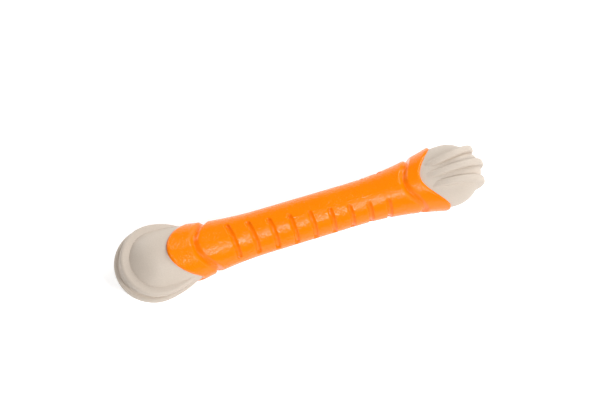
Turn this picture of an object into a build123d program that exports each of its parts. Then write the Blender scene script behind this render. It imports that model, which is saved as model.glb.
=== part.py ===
from build123d import *
import os
from math import cos, pi, radians, sin, sqrt

os.makedirs("parts", exist_ok=True)

# Chew stick: two hard ribbed heads on a stiff rod, with a soft grip sleeve moulded over the rod and both necks.
# Millimetres and degrees. X runs along the stick and the origin is its middle. The left head's smooth cheeks
# face up and down. The right head is the same moulding turned a quarter turn, so its cheeks face along Y.

# Whole stick
stick_length = 250.0
bond_gap = 0.1
overrun = 2.0

# Head: a round bulb on a neck, with its smooth cheeks between two sets of three fins
bulb_radius = 20.6
bulb_setback = 24.8
neck_tube_length = 18.7

# Fins: rounded ribs that run from one side of the neck over the tip to the other side
fin_width = 5.0
fin_round_share = 0.38
fin_root_sink = 0.3
middle_fin_radius = 23.4
middle_fin_length = 47.0
outer_fin_radius = 22.25
outer_fin_length = 41.0
outer_fin_setback = 3.0
outer_fin_spread = 8.6
outer_fin_fan = 7.0

# Fin bed: the bulb's nose is fuller between the outer fins, so the valleys there are shallow
fin_bed_setback = 2.1
fin_bed_radius = 19.9
fin_bed_crown = 14.0

# Sleeve: a straight grip that flares to a wavy lip, two tongues and two notches at each end
waist_radius = 14.0
sleeve_wall = 5.0
seat_wall = 3.4
flare_length = 63.4
tongue_setback = 31.6
tongue_rise = 1.6
notch_rise = 1.5
edge_wave_depth = 18.7
lip_round = 1.2

# Wavy V-groove beside each lip
ring_tongue_setback = 16.9
ring_notch_setback = 10.8
ring_outer_width = 2.0
ring_inner_width = 2.6
ring_depth_share = 0.6

# Cross grooves in two opposite bands that twist along the grip
groove_count = 9
groove_end_gap = 11.9
groove_width = 3.3
groove_depth = 1.6
groove_span = 100.0
groove_slant = 7.0
band_start_turn = 45.0
band_twist = 57.0

# Rod: ring grooves and cross holes that the moulded pieces fill, and two flats at each end
rod_socket_depth = 44.0
sleeve_anchor_count = 5
sleeve_anchor_end_gap = 16.0
anchor_width = 6.0
anchor_depth = 1.5
head_anchor_shares = (0.25, 0.5)
bridge_radius = 2.5
key_length = 12.0
key_depth = 1.8

# Places along the stick, measured from its middle towards either end
tip_x = stick_length / 2
bulb_x = tip_x - bulb_setback
bed_x = tip_x - fin_bed_setback - fin_bed_radius
tongue_x = tip_x - tongue_setback
notch_x = tongue_x - edge_wave_depth
flare_x = tongue_x - flare_length
neck_end_x = notch_x - neck_tube_length
rod_end_x = neck_end_x + rod_socket_depth
ring_tongue_x = tongue_x - ring_tongue_setback
ring_notch_x = notch_x - ring_notch_setback
groove_pitch = 2 * (ring_notch_x - groove_end_gap) / (groove_count - 1)
sleeve_anchor_pitch = 2 * (neck_end_x - sleeve_anchor_end_gap) / (sleeve_anchor_count - 1)
bridge_x = neck_end_x - sleeve_anchor_end_gap - sleeve_anchor_pitch / 2

# Radii that follow from the sizes above
rod_radius = waist_radius - sleeve_wall
flare_rise = bulb_radius + tongue_rise - waist_radius
flare_radius = (flare_length**2 + flare_rise**2) / (2 * flare_rise)
ring_depth = seat_wall * ring_depth_share
groove_radius = ((groove_width / 2) ** 2 + groove_depth**2) / (2 * groove_depth)
tool_radius = middle_fin_radius + overrun
tool_core_radius = rod_radius / 2
wave_points = 24


def flare_offset(x, depth):
    """Radius at x of the surface that lies depth under the sleeve's outside."""
    along = max(0.0, x - flare_x)
    return waist_radius + flare_radius - sqrt((flare_radius + depth) ** 2 - along**2)


notch_radius = flare_offset(notch_x, 0) - notch_rise
neck_drop = bulb_radius - notch_radius
neck_arc_radius = ((bulb_x - notch_x) ** 2 + neck_drop**2) / (2 * neck_drop)


def neck_radius(x):
    """Radius at x of the bare neck between the bulb and the sleeve's lip."""
    return bulb_radius - neck_arc_radius + sqrt(neck_arc_radius**2 - (bulb_x - x) ** 2)


# Each end has its own frame: x outwards along the stick, z out of a smooth cheek
left_end = Plane((0, 0, 0), x_dir=(-1, 0, 0), z_dir=(0, 0, 1))
right_end = Plane((0, 0, 0), x_dir=(1, 0, 0), z_dir=(0, 1, 0))


def wave_tool(end, shift, reach):
    """Solid that starts at the lip's wavy edge, moved by shift, and reaches along the stick."""
    middle = (tongue_x + notch_x) / 2 + shift
    swing = (tongue_x - notch_x) / 2
    rims = []
    for radius in (tool_core_radius, tool_radius):
        points = []
        for step in range(wave_points):
            turn = 2 * pi * step / wave_points
            place = (middle + swing * cos(2 * turn), radius * sin(turn), radius * cos(turn))
            points.append(end.from_local_coords(place))
        rims.append(Edge.make_spline(points, periodic=True))
    wall = Face.make_surface_from_curves(*rims)
    return Solid.extrude(wall, end.x_dir * reach)


def ring_curve(end, offset, depth):
    """Closed curve beside the V-groove's middle line, offset along the surface and depth under it."""
    middle = (ring_tongue_x + ring_notch_x) / 2
    swing = (ring_tongue_x - ring_notch_x) / 2
    points = []
    for step in range(wave_points):
        turn = 2 * pi * step / wave_points
        x = middle + swing * cos(2 * turn)
        radius = flare_offset(x, 0)
        slope = -2 * swing * sin(2 * turn) / radius
        across = offset / sqrt(1 + slope**2)
        turn -= slope * across / radius
        x += across
        radius = flare_offset(x, depth)
        points.append(end.from_local_coords((x, radius * sin(turn), radius * cos(turn))))
    return Edge.make_spline(points, periodic=True)


def ring_tool(end):
    """V-shaped ring that follows the wavy groove, from its floor to above the surface."""
    above = (ring_depth + overrun) / ring_depth
    floor = ring_curve(end, 0, ring_depth)
    outer_rim = ring_curve(end, ring_outer_width * above, -overrun)
    inner_rim = ring_curve(end, -ring_inner_width * above, -overrun)
    pairs = ((floor, outer_rim), (outer_rim, inner_rim), (inner_rim, floor))
    return Solid(Shell([Face.make_surface_from_curves(*pair) for pair in pairs]))


def rod_body(grow):
    """The rod, or the hollow that holds it when every face is moved outwards by grow."""
    first_anchor_x = sleeve_anchor_end_gap - neck_end_x
    anchors = [first_anchor_x + sleeve_anchor_pitch * index for index in range(sleeve_anchor_count)]
    for share in head_anchor_shares:
        anchors += [neck_end_x + rod_socket_depth * share, -neck_end_x - rod_socket_depth * share]
    radius = rod_radius + grow
    key_start_x = rod_end_x - key_length + grow
    key_middle_x = (key_start_x + rod_end_x + overrun) / 2
    key_middle_y = radius + (overrun - key_depth) / 2
    with BuildPart() as rod:
        with BuildSketch(Plane.XZ):
            with Locations((0, radius / 2)):
                Rectangle(2 * (rod_end_x + grow), radius)
            with Locations([(place, radius) for place in anchors]):
                Rectangle(anchor_width - 2 * grow, 2 * anchor_depth, mode=Mode.SUBTRACT)
        revolve(axis=Axis.X)
        with BuildSketch(Plane.XZ):
            with Locations((bridge_x, 0), (-bridge_x, 0)):
                Circle(bridge_radius - grow)
        extrude(amount=radius + overrun, both=True, mode=Mode.SUBTRACT)
        for end in (left_end, right_end):
            with BuildSketch(end):
                with Locations((key_middle_x, key_middle_y), (key_middle_x, -key_middle_y)):
                    Rectangle(2 * (key_middle_x - key_start_x), key_depth + overrun)
            extrude(amount=radius + overrun, both=True, mode=Mode.SUBTRACT)
    return rod.part


def fin(end, spread, fan, tip, length, crown):
    """One rounded fin: a plate whose outline rises from the neck, goes round the tip and comes back."""
    lean = radians(fan)
    along = end.x_dir * cos(lean) + end.z_dir * sin(lean)
    across = end.z_dir * cos(lean) - end.x_dir * sin(lean)
    plane = Plane(end.from_local_coords((bulb_x, 0, spread)), x_dir=along, z_dir=across)
    crown_x = tip - crown - bulb_x
    root_x = tip - length - bulb_x
    root_spread = spread + root_x * sin(lean)
    root_y = sqrt(neck_radius(root_x + bulb_x) ** 2 - root_spread**2) - fin_root_sink
    with BuildPart() as plate:
        with BuildSketch(plane):
            with BuildLine():
                TangentArc((crown_x, crown), (root_x, root_y), tangent=(-1, 0))
                ThreePointArc((crown_x, crown), (crown_x + crown, 0), (crown_x, -crown))
                TangentArc((crown_x, -crown), (root_x, -root_y), tangent=(-1, 0))
                Line((root_x, -root_y), (root_x, root_y))
            make_face()
        extrude(amount=fin_width / 2, both=True)
        crest = plate.edges().filter_by(GeomType.CIRCLE)
        fillet(crest, fin_width * fin_round_share)
    return plate.part


def fin_bed(end):
    """Outline of the fuller nose: half a crowned disc that turns about the line through both cheeks."""
    half_width = outer_fin_spread + fin_width / 2
    edge_radius = fin_bed_radius - fin_bed_crown + sqrt(fin_bed_crown**2 - half_width**2)
    with BuildSketch(Plane(end.from_local_coords((bed_x, 0, 0)), x_dir=end.x_dir, z_dir=-end.y_dir)) as outline:
        with BuildLine():
            ThreePointArc((edge_radius, -half_width), (fin_bed_radius, 0), (edge_radius, half_width))
            Polyline((edge_radius, half_width), (0, half_width), (0, -half_width), (edge_radius, -half_width))
        make_face()
    return outline.sketch


def neck_seat(end, start_x, finish_x, depth):
    """Outline of the neck under the sleeve, from the axis to depth under the sleeve's outside."""
    middle_x = (start_x + finish_x) / 2
    near, middle, far = [(x, flare_offset(x, depth)) for x in (start_x, middle_x, finish_x)]
    with BuildSketch(end) as outline:
        with BuildLine():
            ThreePointArc(near, middle, far)
            Polyline(far, (finish_x, 0), (start_x, 0), near)
        make_face()
    return outline.sketch


def cross_groove(x, turn):
    """Cutter for one cross groove: a round bar bent about the stick, its middle turned from the top."""
    outward = Vector(0, -sin(turn), cos(turn))
    sideways = Vector(0, -cos(turn), -sin(turn))
    slant = radians(groove_slant)
    half = radians(groove_span / 2)
    reach = flare_offset(abs(x), 0) - groove_depth + groove_radius
    ring = Plane((x, 0, 0), x_dir=outward, z_dir=Vector(cos(slant), 0, 0) - sideways * sin(slant))
    start = ring.from_local_coords((reach * cos(half), -reach * sin(half), 0))
    with BuildPart() as bar:
        with BuildSketch(Plane(start, x_dir=ring.z_dir, z_dir=ring.z_dir.cross(start - ring.origin))):
            Circle(groove_radius)
        revolve(axis=Axis(ring.origin, ring.z_dir), revolution_arc=groove_span)
    return bar.part


# Rod
with BuildPart() as core_rod:
    add(rod_body(0))
core_rod.part.label = "core_rod"
export_step(core_rod.part, "parts/core_rod.step")
rod_hollow = rod_body(bond_gap)

# Heads: bulb and fins, cut back along the wavy lip, with the neck tube left inside the sleeve
for name, end in (("left_head", left_end), ("right_head", right_end)):
    outer_tip_x = tip_x - outer_fin_setback
    fins = [fin(end, 0, 0, tip_x, middle_fin_length, middle_fin_radius)]
    for side in (1, -1):
        spread = side * outer_fin_spread
        fins.append(fin(end, spread, side * outer_fin_fan, outer_tip_x, outer_fin_length, outer_fin_radius))
    with BuildPart() as head:
        with BuildSketch(end):
            with BuildLine():
                start_x = notch_x - overrun
                start = (start_x, neck_radius(start_x))
                nose = (bulb_x + bulb_radius, 0)
                TangentArc((bulb_x, bulb_radius), start, tangent=(-1, 0))
                RadiusArc((bulb_x, bulb_radius), nose, bulb_radius)
                Polyline(nose, (start_x, 0), start)
            make_face()
        revolve(axis=Axis.X)
        add(fin_bed(end))
        revolve(axis=Axis(end.from_local_coords((bed_x, 0, 0)), end.z_dir))
        add(fins)
        add(wave_tool(end, 0, -edge_wave_depth - 2 * overrun), mode=Mode.SUBTRACT)
        add(neck_seat(end, neck_end_x, tongue_x + overrun, seat_wall))
        revolve(axis=Axis.X)
        add(rod_hollow, mode=Mode.SUBTRACT)
    head.part.label = name
    export_step(head.part, f"parts/{name}.step")

# Cross grooves, evenly spaced along the grip in two opposite bands
groove_tools = []
for index in range(groove_count):
    place = index - (groove_count - 1) / 2
    turn = radians(band_start_turn + band_twist * place / (groove_count - 1))
    for side_turn in (turn, turn + pi):
        groove_tools.append(cross_groove(groove_pitch * place, side_turn))

# Sleeve: turned outside, drawn on the side that lies between the two bands
between_bands = Plane((0, 0, 0), x_dir=(1, 0, 0), z_dir=(0, 1, -1))
with BuildPart() as grip_sleeve:
    sleeve_end_x = tongue_x + overrun
    sleeve_end_radius = flare_offset(sleeve_end_x, 0)
    right_rim = (sleeve_end_x, sleeve_end_radius)
    left_rim = (-sleeve_end_x, sleeve_end_radius)
    with BuildSketch(between_bands):
        with BuildLine():
            TangentArc((-flare_x, waist_radius), left_rim, tangent=(-1, 0))
            Line((-flare_x, waist_radius), (flare_x, waist_radius))
            TangentArc((flare_x, waist_radius), right_rim, tangent=(1, 0))
            Polyline(right_rim, (sleeve_end_x, 0), (-sleeve_end_x, 0), left_rim)
        make_face()
    revolve(axis=Axis.X)
    for end in (left_end, right_end):
        add(wave_tool(end, -bond_gap, edge_wave_depth + 2 * overrun), mode=Mode.SUBTRACT)
    wave_edges = grip_sleeve.edges().filter_by(GeomType.BSPLINE)
    lip_edges = wave_edges.filter_by(lambda edge: Vector(0, (edge @ 0).Y, (edge @ 0).Z).length > notch_radius)
    fillet(lip_edges, lip_round)
    add(groove_tools, mode=Mode.SUBTRACT)
    for end in (left_end, right_end):
        add(ring_tool(end), mode=Mode.SUBTRACT)
    for end in (left_end, right_end):
        add(neck_seat(end, neck_end_x - bond_gap, sleeve_end_x + overrun, seat_wall - bond_gap))
    revolve(axis=Axis.X, mode=Mode.SUBTRACT)
    add(rod_hollow, mode=Mode.SUBTRACT)
grip_sleeve.part.label = "grip_sleeve"
export_step(grip_sleeve.part, "parts/grip_sleeve.step")
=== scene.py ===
from math import cos, pi, radians, sin

import bmesh
import bpy
import numpy as np
from mathutils import Matrix, Vector


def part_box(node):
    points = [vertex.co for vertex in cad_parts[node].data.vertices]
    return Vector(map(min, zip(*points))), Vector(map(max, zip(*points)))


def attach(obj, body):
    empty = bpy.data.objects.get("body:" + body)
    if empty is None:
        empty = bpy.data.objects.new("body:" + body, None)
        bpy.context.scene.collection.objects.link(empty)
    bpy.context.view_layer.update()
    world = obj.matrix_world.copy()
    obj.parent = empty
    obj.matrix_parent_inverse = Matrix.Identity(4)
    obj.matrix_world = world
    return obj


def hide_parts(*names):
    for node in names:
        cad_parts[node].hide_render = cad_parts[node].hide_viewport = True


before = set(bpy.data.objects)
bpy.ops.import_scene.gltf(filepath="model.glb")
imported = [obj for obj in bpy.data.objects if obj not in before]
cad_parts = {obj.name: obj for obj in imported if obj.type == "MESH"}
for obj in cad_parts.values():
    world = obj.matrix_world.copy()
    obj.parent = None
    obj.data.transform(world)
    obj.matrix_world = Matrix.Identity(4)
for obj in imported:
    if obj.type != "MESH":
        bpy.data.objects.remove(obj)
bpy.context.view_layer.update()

# Core rod
# A stiff nylon rod runs through the stick and is closed in by the heads and the sleeve, so none of it shows.
# It keeps its CAD shape and gets the plain finish of a moulding.
mm = 0.001
rod_cloud_width = 4 * mm


def linear(hex_colour):
    """An sRGB hex colour as the linear colour that shaders take."""
    parts = [int(hex_colour[start:start + 2], 16) / 255 for start in (1, 3, 5)]
    return [part / 12.92 if part <= 0.04045 else ((part + 0.055) / 1.055) ** 2.4 for part in parts] + [1.0]


def add_node(tree, kind, inputs, **settings):
    """A shader node with its settings; each input is a fixed value or the output socket that feeds it."""
    node = tree.nodes.new(kind)
    for name, value in settings.items():
        setattr(node, name, value)
    for socket, value in inputs.items():
        if isinstance(value, bpy.types.NodeSocket):
            tree.links.new(value, node.inputs[socket])
        else:
            node.inputs[socket].default_value = value
    return node


def new_material(name):
    """An empty material with its node tree and its Object coordinates."""
    material = bpy.data.materials.new(name)
    material.use_nodes = True
    tree = material.node_tree
    tree.nodes.clear()
    return material, tree, add_node(tree, "ShaderNodeTexCoord", {}).outputs["Object"]


def set_material(piece, material):
    """Gives a piece one material all over."""
    piece.data.materials.clear()
    piece.data.materials.append(material)


# Natural nylon as moulded: dull off-white, with a faint cloudiness a few millimetres across. A colour mix has
# its factor in socket 0, its two colours in sockets 6 and 7, and its result in output 2.
natural_nylon, tree, place = new_material("natural_nylon")
cloud = add_node(tree, "ShaderNodeTexNoise", {"Vector": place, "Scale": 1 / rod_cloud_width, "Detail": 2.0})
tint = add_node(tree, "ShaderNodeMix", {0: cloud.outputs[0], 6: linear("#DDD9CF"), 7: linear("#D2CDC1")},
                data_type="RGBA")
shader = add_node(tree, "ShaderNodeBsdfPrincipled",
                  {"Base Color": tint.outputs[2], "Roughness": 0.5, "IOR": 1.53})
add_node(tree, "ShaderNodeOutputMaterial", {"Surface": shader.outputs[0]})
set_material(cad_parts["core_rod"], natural_nylon)

# Heads
# Two hard beige heads of one moulding, turned a quarter turn from each other: a round bulb with three fins
# over its tip. They are filled nylon, moulded over the rod's ends, with crisp creases beside the round fins.
crease_angle = radians(12)
merge_distance = 0.001 * mm
head_cloud_width = 9 * mm
speck_width = 0.7 * mm
grain_width = 0.45 * mm
grain_height = 0.05 * mm


def smooth_copy(node, name):
    """A merged copy of a CAD node, shaded smooth on its faces and crisp at its creases."""
    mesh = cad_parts[node].data.copy()
    mesh.name = name
    skin = bmesh.new()
    skin.from_mesh(mesh)
    bmesh.ops.remove_doubles(skin, verts=skin.verts, dist=merge_distance)
    skin.to_mesh(mesh)
    skin.free()
    mesh.polygons.foreach_set("use_smooth", [True] * len(mesh.polygons))
    mesh.set_sharp_from_angle(angle=crease_angle)
    piece = bpy.data.objects.new(name, mesh)
    bpy.context.scene.collection.objects.link(piece)
    return piece


# Filled nylon: matt beige with darker specks of filler under a millimetre wide, a slow cloudiness and the
# fine grain of the mould, drawn a little coarser than it is so that it shows
filled_nylon, tree, place = new_material("filled_nylon")
cloud = add_node(tree, "ShaderNodeTexNoise", {"Vector": place, "Scale": 1 / head_cloud_width, "Detail": 3.0})
speck = add_node(tree, "ShaderNodeTexNoise", {"Vector": place, "Scale": 1 / speck_width, "Detail": 2.0})
tint = add_node(tree, "ShaderNodeMix", {0: cloud.outputs[0], 6: linear("#D0C3B5"), 7: linear("#C9BBAD")},
                data_type="RGBA")
fleck = add_node(tree, "ShaderNodeMapRange", {"Value": speck.outputs[0], "From Min": 0.35, "From Max": 0.7})
mixed = add_node(tree, "ShaderNodeMix", {0: fleck.outputs[0], 6: linear("#C7BAAC"), 7: tint.outputs[2]},
                 data_type="RGBA")
grain = add_node(tree, "ShaderNodeTexNoise", {"Vector": place, "Scale": 1 / grain_width, "Detail": 2.0})
bump = add_node(tree, "ShaderNodeBump",
                {"Height": grain.outputs[0], "Strength": 0.15, "Distance": grain_height})
shader = add_node(tree, "ShaderNodeBsdfPrincipled",
                  {"Base Color": mixed.outputs[2], "Roughness": 0.55, "IOR": 1.53, "Normal": bump.outputs[0]})
add_node(tree, "ShaderNodeOutputMaterial", {"Surface": shader.outputs[0]})

for node in ("left_head", "right_head"):
    head = smooth_copy(node, node + "_moulding")
    set_material(head, filled_nylon)
    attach(head, "root")
    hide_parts(node)

# Grip sleeve
# Soft orange rubber moulded over the rod and the necks of both heads. It flares towards wavy lips that stand
# proud of the heads, and has a wavy V-groove beside each lip, two twisting bands of cross grooves and, along
# its top and underside, the low ridge and fine line of the mould's parting plane.
tongue_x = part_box("grip_sleeve")[1].x
bulb_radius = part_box("left_head")[1].z
edge_wave_depth = 18.7 * mm
waist_radius = 14.0 * mm
flare_x = 30.0 * mm
tongue_radius = 22.2 * mm
lip_round = 2.0 * mm
lip_overlap = 0.5 * mm
lip_clearance = 0.03 * mm
bulb_x = 100.2 * mm
neck_arc_radius = 82.15 * mm
seat_wall = 3.3 * mm
rod_radius = 9.1 * mm
neck_end_x = 55.9 * mm
ring_tongue_x = 76.5 * mm
ring_wave_depth = 12.6 * mm
ring_outer_width = 2.0 * mm
ring_inner_width = 2.6 * mm
ring_depth = 2.1 * mm
ring_floor_round = 0.4 * mm
ring_rim_round = 0.3 * mm
groove_count = 9
groove_pitch = 13.0 * mm
groove_width = 3.3 * mm
groove_depth = 1.6 * mm
groove_rim_round = 0.15 * mm
groove_half_span = radians(50)
groove_slant = radians(7)
band_start_turn = radians(45)
band_twist = radians(57)
crown_height = 0.55 * mm
crown_reach = 4.0 * mm
seam_width = 0.28 * mm
seam_height = 0.12 * mm
sleeve_cloud_width = 14 * mm
stipple_width = 1.2 * mm
stipple_height = 0.29 * mm
stipple_fade = 0.3 * mm
turn_steps = 216
length_steps = 392
lip_steps = 9
lip_share = 0.025

# Outline of the closed skin: a share of the way to either end, and a number for each of its layers, which
# fall from the outside to the bore
outside_layer = 1.0
lip_layer = 0.8
step_layer = 0.6
seat_layer = 0.4
bore_layer = 0.2
half_layer = 0.1
body_shares = np.linspace(lip_share - 1, 1 - lip_share, length_steps + 1)
lip_shares = np.linspace(1 - lip_share, 1, lip_steps + 1)[1:]
outside_shares = np.concatenate((-lip_shares[::-1], body_shares, lip_shares))
neck_share = neck_end_x / tongue_x
end_layers = [lip_layer, step_layer, seat_layer]
outline = [(share, outside_layer) for share in outside_shares]
outline += [(1, layer) for layer in end_layers]
outline += [(neck_share, seat_layer), (neck_share, bore_layer)]
outline += [(-neck_share, bore_layer), (-neck_share, seat_layer)]
outline += [(-1, layer) for layer in reversed(end_layers)]
skin = bmesh.new()
points = [skin.verts.new((share, 0, layer)) for share, layer in outline]
lines = [skin.edges.new((points[index - 1], points[index])) for index in range(len(points))]
bmesh.ops.spin(skin, geom=points + lines, cent=(0, 0, 0), axis=(1, 0, 0), angle=2 * pi, steps=turn_steps,
               use_merge=True)
mesh = bpy.data.meshes.new("grip_sleeve_moulding")
skin.to_mesh(mesh)
skin.free()

# Each point of that skin goes to its place on the wavy, flared and grooved sleeve
flat = np.empty(len(mesh.vertices) * 3)
mesh.vertices.foreach_get("co", flat)
share, y, z = flat.reshape(-1, 3).T
layer = np.hypot(y, z)
turn = np.arctan2(-y, z)
flare_rise = tongue_radius - waist_radius
flare_radius = ((tongue_x - flare_x) ** 2 + flare_rise**2) / (2 * flare_rise)


def flare(x, depth):
    """Radius at x of the surface that lies depth under the sleeve's plain outside."""
    along = np.maximum(0, np.abs(x) - flare_x)
    return waist_radius + flare_radius - np.sqrt((flare_radius + depth) ** 2 - along**2)


def soft_depth(depth, rounding):
    """A cut's depth where it is below the surface and nothing above it, with a rounded rim."""
    return (depth + np.sqrt(depth**2 + rounding**2)) / 2


wave = np.where(share > 0, np.cos(turn) ** 2, np.sin(turn) ** 2)
edge_x = tongue_x - edge_wave_depth * wave
outside = layer > outside_layer - half_layer
over_head = layer > lip_layer - half_layer
over_neck = layer > step_layer - half_layer
lip_x = edge_x + lip_overlap
at_end = np.abs(share) > 1 - lip_share / lip_steps / 2
x = share * np.where(over_head, lip_x, np.where(at_end, edge_x, tongue_x))
radius = flare(x, 0)
lean = np.sin(2 * turn) / radius
edge_gap = (lip_x - np.abs(x)) / np.hypot(1, edge_wave_depth * lean)
lip = np.clip(lip_round - edge_gap, 0, lip_round)
cut = lip_round - np.sqrt(lip_round**2 - lip**2)
ring_gap = (np.abs(x) - ring_tongue_x + ring_wave_depth * wave) / np.hypot(1, ring_wave_depth * lean)
ring_width = np.where(ring_gap > 0, ring_outer_width, ring_inner_width)
ring_slope = (np.hypot(ring_gap, ring_floor_round) - ring_floor_round) / ring_width
cut += soft_depth(ring_depth * (1 - ring_slope), ring_rim_round)
groove_radius = ((groove_width / 2) ** 2 + groove_depth**2) / (2 * groove_depth)
for index in range(groove_count):
    step = index - (groove_count - 1) / 2
    groove_x = step * groove_pitch
    for side_turn in (0, pi):
        middle_turn = band_start_turn + band_twist * step / (groove_count - 1) + side_turn
        arc = flare(groove_x, 0) * ((turn - middle_turn + pi) % (2 * pi) - pi)
        along = arc * cos(groove_slant) + (x - groove_x) * sin(groove_slant)
        across = (x - groove_x) * cos(groove_slant) - arc * sin(groove_slant)
        half_straight = flare(groove_x, 0) * groove_half_span - groove_width / 2
        apart = np.hypot(np.maximum(np.abs(along) - half_straight, 0), across)
        inside_bar = np.sqrt(np.maximum(groove_radius**2 - apart**2, 0)) - groove_radius + groove_depth
        depth = inside_bar - np.maximum(apart - groove_radius, 0)
        cut += soft_depth(depth, groove_rim_round)
stipple_level = np.clip(1 - cut / stipple_fade, 0, 1)
seam_gap = radius * np.arcsin(np.abs(np.sin(turn)))
cut -= crown_height * np.exp(-seam_gap / crown_reach)
cut -= seam_height * np.exp(-((seam_gap / seam_width) ** 2)) * (edge_gap > lip_round)
from_bulb = np.minimum(bulb_x - np.abs(x), neck_arc_radius)
neck = bulb_radius - neck_arc_radius + np.sqrt(neck_arc_radius**2 - from_bulb**2) + lip_clearance
hidden = np.where(layer > seat_layer - half_layer, flare(x, seat_wall), rod_radius)
lip_radius = np.where(edge_gap < lip_round, np.maximum(radius - cut, neck), radius - cut)
radius = np.where(outside, lip_radius, np.where(over_neck, neck, hidden))
flat = np.stack((x, -radius * np.sin(turn), radius * np.cos(turn)), axis=1)
mesh.vertices.foreach_set("co", flat.ravel())
skin = bmesh.new()
skin.from_mesh(mesh)
bmesh.ops.recalc_face_normals(skin, faces=skin.faces)
skin.to_mesh(mesh)
skin.free()
mesh.polygons.foreach_set("use_smooth", [True] * len(mesh.polygons))
mesh.attributes.new("stipple_level", "FLOAT", "POINT").data.foreach_set("value", stipple_level)
sleeve = bpy.data.objects.new("grip_sleeve_moulding", mesh)
bpy.context.scene.collection.objects.link(sleeve)

# Thermoplastic rubber: a saturated orange with a thin shine that breaks up into glitter on the stipple of the
# spark-eroded mould. The stipple is drawn coarser than it is, so that it shows, and the grooves stay smooth.
orange_rubber, tree, place = new_material("thermoplastic_rubber")
cloud = add_node(tree, "ShaderNodeTexNoise",
                 {"Vector": place, "Scale": 1 / sleeve_cloud_width, "Detail": 2.0})
tint = add_node(tree, "ShaderNodeMix", {0: cloud.outputs[0], 6: linear("#FF8400"), 7: linear("#FF7E00")},
                data_type="RGBA")
stipple = add_node(tree, "ShaderNodeTexNoise", {"Vector": place, "Scale": 1 / stipple_width, "Detail": 1.0})
land = add_node(tree, "ShaderNodeAttribute", {}, attribute_name="stipple_level")
bump = add_node(tree, "ShaderNodeBump",
                {"Height": stipple.outputs[0], "Strength": land.outputs["Fac"], "Distance": stipple_height})
shader = add_node(tree, "ShaderNodeBsdfPrincipled",
                  {"Base Color": tint.outputs[2], "Roughness": 0.14, "IOR": 1.46, "Specular IOR Level": 0.2,
                   "Normal": bump.outputs[0]})
add_node(tree, "ShaderNodeOutputMaterial", {"Surface": shader.outputs[0]})
set_material(sleeve, orange_rubber)
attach(sleeve, "root")
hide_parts("grip_sleeve")

# Floor
# A plain white sheet that the stick lies on. It touches the left head's cheek and the right head's middle
# fin. Part of its white is its own where it is seen or mirrored, and the stick's soft shadow falls on it.
left_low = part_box("left_head")[0]
right_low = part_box("right_head")[0]
floor_size = 6.0
left_touch_x = -99.5 * mm
right_touch_x = 101.6 * mm
left_touch = Vector((left_touch_x, 0, left_low.z))
right_touch = Vector((right_touch_x, 0, right_low.z))
floor_x = (right_touch - left_touch).normalized()
floor_z = floor_x.cross(Vector((0, 1, 0)))
floor_mesh = bpy.data.meshes.new("floor")
sheet = bmesh.new()
turned = Matrix((floor_x, Vector((0, 1, 0)), floor_z)).transposed().to_4x4()
bmesh.ops.create_grid(sheet, x_segments=1, y_segments=1, size=floor_size / 2,
                      matrix=Matrix.Translation(left_touch) @ turned)
sheet.to_mesh(floor_mesh)
sheet.free()
floor = bpy.data.objects.new("floor", floor_mesh)
bpy.context.scene.collection.objects.link(floor)
white_paper, tree, _ = new_material("white_paper")
diffuse = add_node(tree, "ShaderNodeBsdfDiffuse", {"Color": linear("#EDEDED")})
glow = add_node(tree, "ShaderNodeEmission", {"Color": linear("#FFFFFF"), "Strength": 0.5})
lit = add_node(tree, "ShaderNodeAddShader", {0: diffuse.outputs[0], 1: glow.outputs[0]})
path = add_node(tree, "ShaderNodeLightPath", {})
clear = add_node(tree, "ShaderNodeMath", {0: path.outputs["Is Camera Ray"], 1: path.outputs["Is Glossy Ray"]},
                 operation="MAXIMUM")
clear = add_node(tree, "ShaderNodeMath", {0: clear.outputs[0], 1: path.outputs["Is Transmission Ray"]},
                 operation="MAXIMUM")
seen = add_node(tree, "ShaderNodeMixShader", {0: clear.outputs[0], 1: diffuse.outputs[0], 2: lit.outputs[0]})
add_node(tree, "ShaderNodeOutputMaterial", {"Surface": seen.outputs[0]})
set_material(floor, white_paper)

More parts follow.
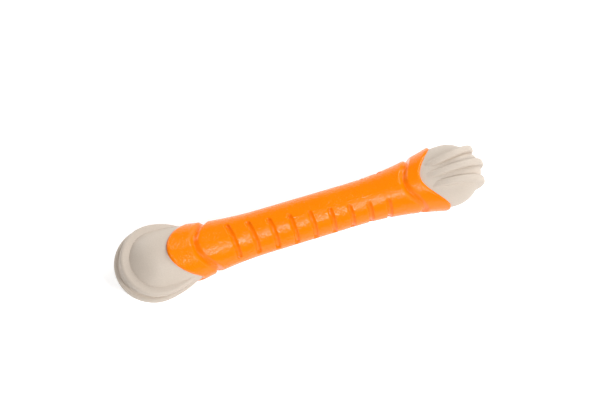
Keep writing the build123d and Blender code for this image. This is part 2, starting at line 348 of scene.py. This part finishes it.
# Camera
# It looks down on the stick from above and a little to the left, as in the photograph.
camera_right = Vector((0.9253, -0.3328, 0.1821))
camera_up = Vector((0.2734, 0.9178, 0.2878))
camera_back = Vector((-0.2629, -0.2165, 0.9402))
camera_distance = 668.07 * mm
aim_right = -4.44 * mm
aim_up = 11.49 * mm
camera_data = bpy.data.cameras.new("camera")
camera_data.lens = 63.2
camera_data.sensor_width = 36.0
camera = bpy.data.objects.new("camera", camera_data)
bpy.context.scene.collection.objects.link(camera)
turned = Matrix((camera_right, camera_up, camera_back)).transposed().to_4x4()
aim = camera_right * aim_right + camera_up * aim_up
camera.matrix_world = Matrix.Translation(aim + camera_back * camera_distance) @ turned
bpy.context.scene.camera = camera

# Light
# A dim white studio with soft boxes around the stick, the strongest ones above it in the picture, and a
# narrow bright strip light to the right of the camera that glitters in the rubber's stipple.
world = bpy.data.worlds.new("studio")
bpy.context.scene.world = world
world.use_nodes = True
world.node_tree.nodes.clear()
sky = add_node(world.node_tree, "ShaderNodeBackground", {"Color": linear("#FFFFFF"), "Strength": 0.22})
add_node(world.node_tree, "ShaderNodeOutputWorld", {"Surface": sky.outputs[0]})
lamp_distance = 1.2


def soft_box(name, direction, along, size, power):
    """A rectangular soft light that looks at the stick from one direction, with one side along another."""
    data = bpy.data.lights.new(name, "AREA")
    data.shape = "RECTANGLE"
    data.size, data.size_y = size
    data.energy = power
    lamp = bpy.data.objects.new(name, data)
    bpy.context.scene.collection.objects.link(lamp)
    back = direction.normalized()
    up = back.cross(along).normalized()
    turned = Matrix((up.cross(back), up, back)).transposed().to_4x4()
    lamp.matrix_world = Matrix.Translation(back * lamp_distance) @ turned


stick_way = Vector((1, 0, 0))
strip_way = camera_right * 0.475 - camera_up * 0.66 - camera_back * 0.575
soft_box("front_box", camera_back, stick_way, (0.5, 0.5), 1.6)
soft_box("top_right_box", camera_up + camera_right * 0.8 + camera_back * 0.25, stick_way, (0.6, 0.6), 7.0)
soft_box("top_left_box", camera_up - camera_right * 0.7 + camera_back * 0.2, stick_way, (0.6, 0.6), 5.4)
soft_box("bottom_box", camera_back * 0.6 - camera_up, stick_way, (0.5, 0.5), 3.8)
soft_box("right_box", camera_right + camera_back * 0.15, stick_way, (0.6, 1.2), 2.8)
strip_place = camera_back * 0.8 - camera_up * 0.17 + camera_right * 0.575
soft_box("strip_light", strip_place, strip_way, (0.45, 0.16), 7.6)
bpy.context.scene.view_settings.view_transform = "Standard"
